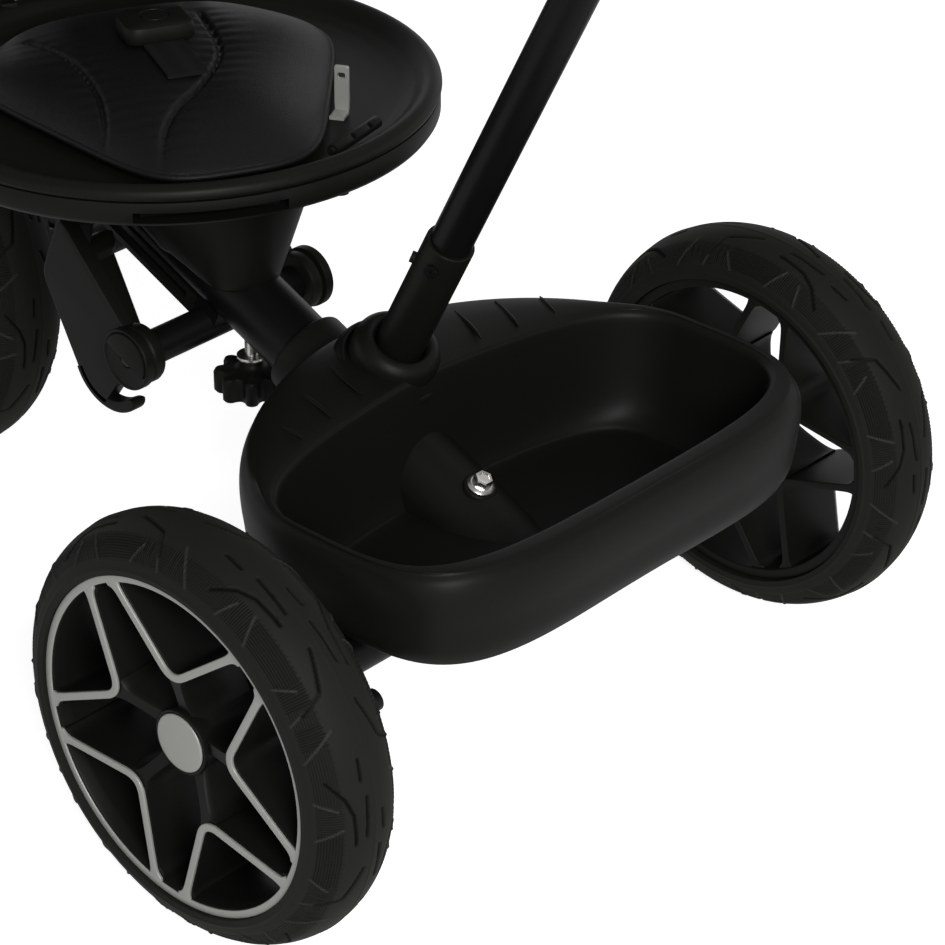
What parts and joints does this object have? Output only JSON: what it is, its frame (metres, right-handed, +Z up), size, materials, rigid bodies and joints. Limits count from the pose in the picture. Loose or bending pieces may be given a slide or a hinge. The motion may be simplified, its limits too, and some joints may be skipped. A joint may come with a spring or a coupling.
{
  "type": "toddler push along trike",
  "caption": "Black toddler push trike with a turning bucket seat, rear storage basket, fold-up footrests, pedals and a telescopic push handle that steers",
  "frame": {"origin": "on the floor, in the middle of the box around the whole trike", "axes": "+X to the child's left, -Y forward, +Z up"},
  "size_m": [0.531, 1.0121, 0.9709],
  "materials": {
    "frame_paint": "satin black powder coat",
    "black_plastic": "fine-grained moulded black",
    "tyre_rubber": "foamed black rubber, moulded tread",
    "silver_trim": "matt silver paint",
    "steel": "zinc plated",
    "grip_foam": "soft-touch black",
    "leatherette": "smooth black leatherette",
    "webbing": "woven black webbing"
  },
  "bodies": {
    "frame": {"main_tube": "frame_paint", "head_tube": "frame_paint", "headset_bushes": "black_plastic", "axle_housing": "frame_paint", "rear_axle": "steel", "rear_wheel_bushes": "steel", "basket": "black_plastic", "basket_bolt": "steel", "basket_clamp": "black_plastic", "handle_collar": "black_plastic", "pedestal": "black_plastic", "turntable": "black_plastic", "footrest_crossbar": "frame_paint", "footrest_struts": "black_plastic", "pivot_caps": "black_plastic", "pivot_screws": "steel"},
    "left_rear_wheel": {"left_rear_rim": "black_plastic", "left_rear_tyre": "tyre_rubber", "left_rear_trim": "silver_trim", "left_hub_cap": "silver_trim"},
    "right_rear_wheel": {"right_rear_rim": "black_plastic", "right_rear_tyre": "tyre_rubber", "right_rear_trim": "silver_trim", "right_hub_cap": "silver_trim"},
    "fork_and_handlebar": {"fork": "black_plastic", "steering_column": "steel", "handlebar_stem": "black_plastic", "handlebar": "frame_paint", "handlebar_grips": "grip_foam", "fork_bushes": "steel"},
    "front_wheel": {"front_rim": "black_plastic", "front_tyre": "tyre_rubber", "front_trims": "silver_trim", "crank_axle": "steel", "cranks": "frame_paint"},
    "left_pedal_body": {"left_pedal": "black_plastic"},
    "right_pedal_body": {"right_pedal": "black_plastic"},
    "push_handle": {"handle_sleeve": "black_plastic", "handle_tube": "frame_paint", "sleeve_screw": "steel"},
    "handle_extension": {"sliding_tube": "frame_paint", "cross_grip": "grip_foam"},
    "handle_button_body": {"handle_button": "black_plastic"},
    "steering_link_body": {"steering_link": "steel"},
    "seat": {"seat_base": "black_plastic", "seat_dish": "black_plastic", "seat_cushion": "leatherette", "adjuster_bar": "black_plastic", "crotch_strap": "webbing", "harness_fittings": "black_plastic", "recline_pin": "steel"},
    "backrest_body": {"backrest": "black_plastic", "back_cushion": "leatherette", "shoulder_straps": "webbing"},
    "swivel_lever_body": {"swivel_lever": "black_plastic"},
    "clamp_knob": {"star_knob": "black_plastic", "clamp_stud": "steel"},
    "left_footrest_body": {"left_footrest": "black_plastic"},
    "right_footrest_body": {"right_footrest": "black_plastic"},
    "brake": {"brake_lever": "black_plastic"}
  },
  "joints": [
    {"name": "left_wheel_spin", "type": "hinge", "parent": "frame", "child": "left_rear_wheel", "pos_m": [0.2355, 0.19801, 0.125], "axis": [1, 0, 0], "continuous": true},
    {"name": "right_wheel_spin", "type": "hinge", "parent": "frame", "child": "right_rear_wheel", "pos_m": [-0.2355, 0.19801, 0.125], "axis": [1, 0, 0], "continuous": true},
    {"name": "fork_steer", "type": "hinge", "parent": "frame", "child": "fork_and_handlebar", "pos_m": [0, -0.35599, 0.15], "axis": [0, 0.1392, 0.9903], "range_deg": [-30, 30]},
    {"name": "front_wheel_spin", "type": "hinge", "parent": "fork_and_handlebar", "child": "front_wheel", "pos_m": [0, -0.35599, 0.15], "axis": [1, 0, 0], "continuous": true},
    {"name": "left_pedal_spin", "type": "hinge", "parent": "front_wheel", "child": "left_pedal_body", "pos_m": [0.104, -0.44099, 0.15], "axis": [1, 0, 0], "continuous": true},
    {"name": "right_pedal_spin", "type": "hinge", "parent": "front_wheel", "child": "right_pedal_body", "pos_m": [-0.104, -0.27099, 0.15], "axis": [1, 0, 0], "continuous": true},
    {"name": "handle_turn", "type": "hinge", "parent": "frame", "child": "push_handle", "pos_m": [0, 0.08681, 0.18121], "axis": [0, 0.4617, 0.887], "range_deg": [-30, 30]},
    {"name": "handle_extend", "type": "slide", "parent": "push_handle", "child": "handle_extension", "axis": [0, 0.4617, 0.887], "range_m": [-0.13, 0]},
    {"name": "handle_button_press", "type": "slide", "parent": "push_handle", "child": "handle_button_body", "axis": [-0.5299, 0.7522, -0.3916], "range_m": [0, 0.002], "stiffness_N_per_m": 400},
    {"name": "steering_link_slide", "type": "slide", "parent": "frame", "child": "steering_link_body", "axis": [0, 0.9114, -0.4115], "range_m": [-0.0082, 0.0082]},
    {"name": "seat_swivel", "type": "hinge", "parent": "frame", "child": "seat", "pos_m": [0, -0.07199, 0.33], "axis": [0, 0, 1], "continuous": true},
    {"name": "backrest_recline", "type": "hinge", "parent": "seat", "child": "backrest_body", "pos_m": [-0.06488, -0.20501, 0.361], "axis": [0.8988, -0.4384, 0], "range_deg": [0, 10]},
    {"name": "swivel_lever_pull", "type": "slide", "parent": "seat", "child": "swivel_lever_body", "axis": [0.5664, 0.8241, 0], "range_m": [0, 0.006], "stiffness_N_per_m": 300},
    {"name": "clamp_knob_turn", "type": "hinge", "parent": "frame", "child": "clamp_knob", "pos_m": [0, -0.00999, 0.17], "axis": [0, 0, 1], "continuous": true},
    {"name": "left_footrest_fold", "type": "hinge", "parent": "frame", "child": "left_footrest_body", "pos_m": [0.06, -0.03612, 0.20149], "axis": [1, 0, 0], "range_deg": [0, 55]},
    {"name": "right_footrest_fold", "type": "hinge", "parent": "frame", "child": "right_footrest_body", "pos_m": [-0.06, -0.03612, 0.20149], "axis": [1, 0, 0], "range_deg": [0, 55]},
    {"name": "brake_press", "type": "hinge", "parent": "frame", "child": "brake", "pos_m": [0.165, 0.19801, 0.125], "axis": [-1, 0, 0], "range_deg": [0, 20]}
  ],
  "couplings": [
    {"joint": "handle_turn", "follows": "fork_steer", "ratio": 1},
    {"joint": "steering_link_slide", "follows": "fork_steer", "m_per_rad": 0.014598}
  ]
}
